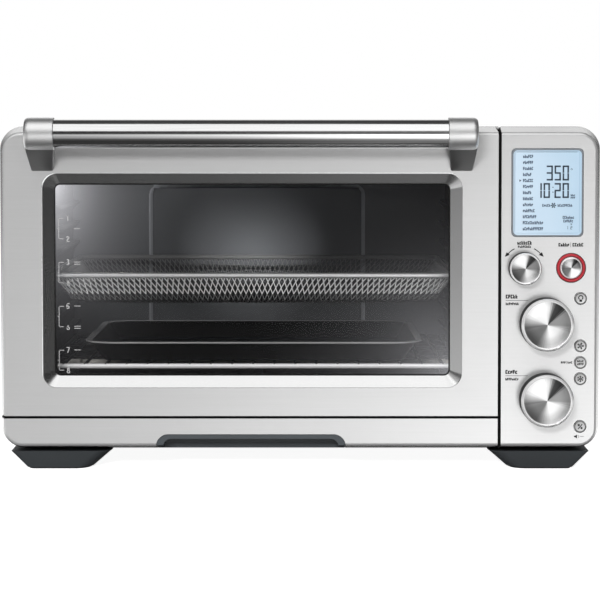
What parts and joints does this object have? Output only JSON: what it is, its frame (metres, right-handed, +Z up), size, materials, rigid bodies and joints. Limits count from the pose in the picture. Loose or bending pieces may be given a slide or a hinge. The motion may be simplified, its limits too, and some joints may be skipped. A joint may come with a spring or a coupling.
{
  "type": "toaster oven",
  "caption": "Countertop convection toaster oven with a drop-down glass door, bar handle, side control panel with display and dials, racks and crumb tray.",
  "frame": {"origin": "centre of the bounding box in plan, on the surface that the feet stand on", "axes": "+X to the right seen from the front, +Y towards the back, +Z up; the door and handle face -Y"},
  "size_m": [0.551, 0.442, 0.3211],
  "materials": {
    "brushed_steel": "brushed along the width, clear satin",
    "polished_aluminium": "bright polished",
    "spun_aluminium": "spun, fine circular grain",
    "satin_aluminium": "satin",
    "painted_steel": "satin grey",
    "galvanised_steel": "galvanised",
    "cavity_coating": "dark non-stick coating, semi-gloss",
    "quartz": "frosted quartz with ceramic ends",
    "clear_glass": "clear, slightly tinted",
    "enamel": "glossy black enamel",
    "chrome_wire": "bright",
    "dark_plastic": "fine matt texture",
    "black_plastic": "semi-gloss",
    "display": "pale blue back-lit window",
    "red_ring": "translucent red",
    "circuit_board": "green laminate"
  },
  "bodies": {
    "cabinet": {"control_panel": "brushed_steel", "outer_wrap": "brushed_steel", "front_frame": "painted_steel", "rear_panel": "galvanised_steel", "base_pan": "galvanised_steel", "divider_wall": "galvanised_steel", "hinge_bracket_left": "galvanised_steel", "hinge_bracket_right": "galvanised_steel", "fan_motor": "galvanised_steel", "lamp_housing": "galvanised_steel", "cavity_left_wall": "cavity_coating", "cavity_right_wall": "cavity_coating", "cavity_ceiling": "cavity_coating", "cavity_floor": "cavity_coating", "cavity_rear_wall": "cavity_coating", "heater_top_1": "quartz", "heater_top_2": "quartz", "heater_top_3": "quartz", "heater_top_4": "quartz", "heater_bottom_1": "quartz", "heater_bottom_2": "quartz", "lamp_lens": "clear_glass", "foot_front_left": "dark_plastic", "foot_front_right": "dark_plastic", "foot_rear_left": "dark_plastic", "foot_rear_right": "dark_plastic", "divider_trim": "black_plastic", "lcd_bezel": "black_plastic", "cord_gland": "black_plastic", "lcd_display": "display", "start_stop_ring": "red_ring", "control_board": "circuit_board"},
    "door": {"door_frame": "brushed_steel", "door_outer_glass": "clear_glass", "door_glass_spacer": "galvanised_steel", "door_inner_glass": "clear_glass", "door_liner": "painted_steel", "door_hinge_left": "galvanised_steel", "door_hinge_right": "galvanised_steel", "handle_bar": "polished_aluminium", "handle_bracket_left": "satin_aluminium", "handle_bracket_right": "satin_aluminium"},
    "rack": {"wire_rack": "chrome_wire"},
    "basket": {"air_fry_basket": "chrome_wire"},
    "pan": {"roasting_pan": "enamel"},
    "crumb_drawer": {"crumb_tray_front": "brushed_steel", "crumb_tray_grip": "dark_plastic", "crumb_tray": "galvanised_steel"},
    "fan_rotor": {"convection_fan": "galvanised_steel"},
    "select_shaft": {"select_plunger": "galvanised_steel"},
    "select_knob": {"select_dial": "spun_aluminium"},
    "temp_knob": {"temp_dial": "spun_aluminium"},
    "time_knob": {"time_dial": "spun_aluminium"},
    "start_key": {"start_stop_button": "spun_aluminium"},
    "light_key": {"light_button": "satin_aluminium"},
    "convection_key": {"convection_button": "satin_aluminium"},
    "phase_key": {"phase_button": "satin_aluminium"},
    "frozen_key": {"frozen_button": "satin_aluminium"},
    "volume_key": {"volume_button": "satin_aluminium"}
  },
  "joints": [
    {"name": "door_hinge", "type": "hinge", "parent": "cabinet", "child": "door", "pos_m": [-0.04675, -0.1747, 0.0541], "axis": [1, 0, 0], "range_deg": [0, 90]},
    {"name": "rack_slide", "type": "slide", "parent": "cabinet", "child": "rack", "axis": [0, -1, 0], "range_m": [0, 0.071]},
    {"name": "basket_slide", "type": "slide", "parent": "cabinet", "child": "basket", "axis": [0, -1, 0], "range_m": [0, 0.181]},
    {"name": "pan_slide", "type": "slide", "parent": "cabinet", "child": "pan", "axis": [0, -1, 0], "range_m": [0, 0.071]},
    {"name": "crumb_tray_slide", "type": "slide", "parent": "cabinet", "child": "crumb_drawer", "axis": [0, -1, 0], "range_m": [0, 0.19]},
    {"name": "fan_spin", "type": "hinge", "parent": "cabinet", "child": "fan_rotor", "pos_m": [0.166, 0.0355, 0.183], "axis": [1, 0, 0], "continuous": true},
    {"name": "select_press", "type": "slide", "parent": "cabinet", "child": "select_shaft", "axis": [0, 1, 0], "range_m": [0, 0.0012], "stiffness_N_per_m": 800, "springref_m": -0.001},
    {"name": "select_turn", "type": "hinge", "parent": "select_shaft", "child": "select_knob", "pos_m": [0.2035, -0.1795, 0.1848], "axis": [0, 1, 0], "continuous": true},
    {"name": "temp_turn", "type": "hinge", "parent": "cabinet", "child": "temp_knob", "pos_m": [0.223, -0.1795, 0.1344], "axis": [0, 1, 0], "continuous": true},
    {"name": "time_turn", "type": "hinge", "parent": "cabinet", "child": "time_knob", "pos_m": [0.223, -0.1795, 0.0657], "axis": [0, 1, 0], "continuous": true},
    {"name": "start_press", "type": "slide", "parent": "cabinet", "child": "start_key", "axis": [0, 1, 0], "range_m": [0, 0.0014], "stiffness_N_per_m": 800, "springref_m": -0.001},
    {"name": "light_press", "type": "slide", "parent": "cabinet", "child": "light_key", "axis": [0, 1, 0], "range_m": [0, 0.001], "stiffness_N_per_m": 700, "springref_m": -0.001},
    {"name": "convection_press", "type": "slide", "parent": "cabinet", "child": "convection_key", "axis": [0, 1, 0], "range_m": [0, 0.001], "stiffness_N_per_m": 700, "springref_m": -0.001},
    {"name": "phase_press", "type": "slide", "parent": "cabinet", "child": "phase_key", "axis": [0, 1, 0], "range_m": [0, 0.001], "stiffness_N_per_m": 700, "springref_m": -0.001},
    {"name": "frozen_press", "type": "slide", "parent": "cabinet", "child": "frozen_key", "axis": [0, 1, 0], "range_m": [0, 0.001], "stiffness_N_per_m": 700, "springref_m": -0.001},
    {"name": "volume_press", "type": "slide", "parent": "cabinet", "child": "volume_key", "axis": [0, 1, 0], "range_m": [0, 0.001], "stiffness_N_per_m": 700, "springref_m": -0.001}
  ],
  "couplings": [
    {"joint": "rack_slide", "follows": "door_hinge", "m_per_rad": 0.045},
    {"joint": "basket_slide", "follows": "door_hinge", "m_per_rad": 0.115},
    {"joint": "pan_slide", "follows": "door_hinge", "m_per_rad": 0.045}
  ]
}
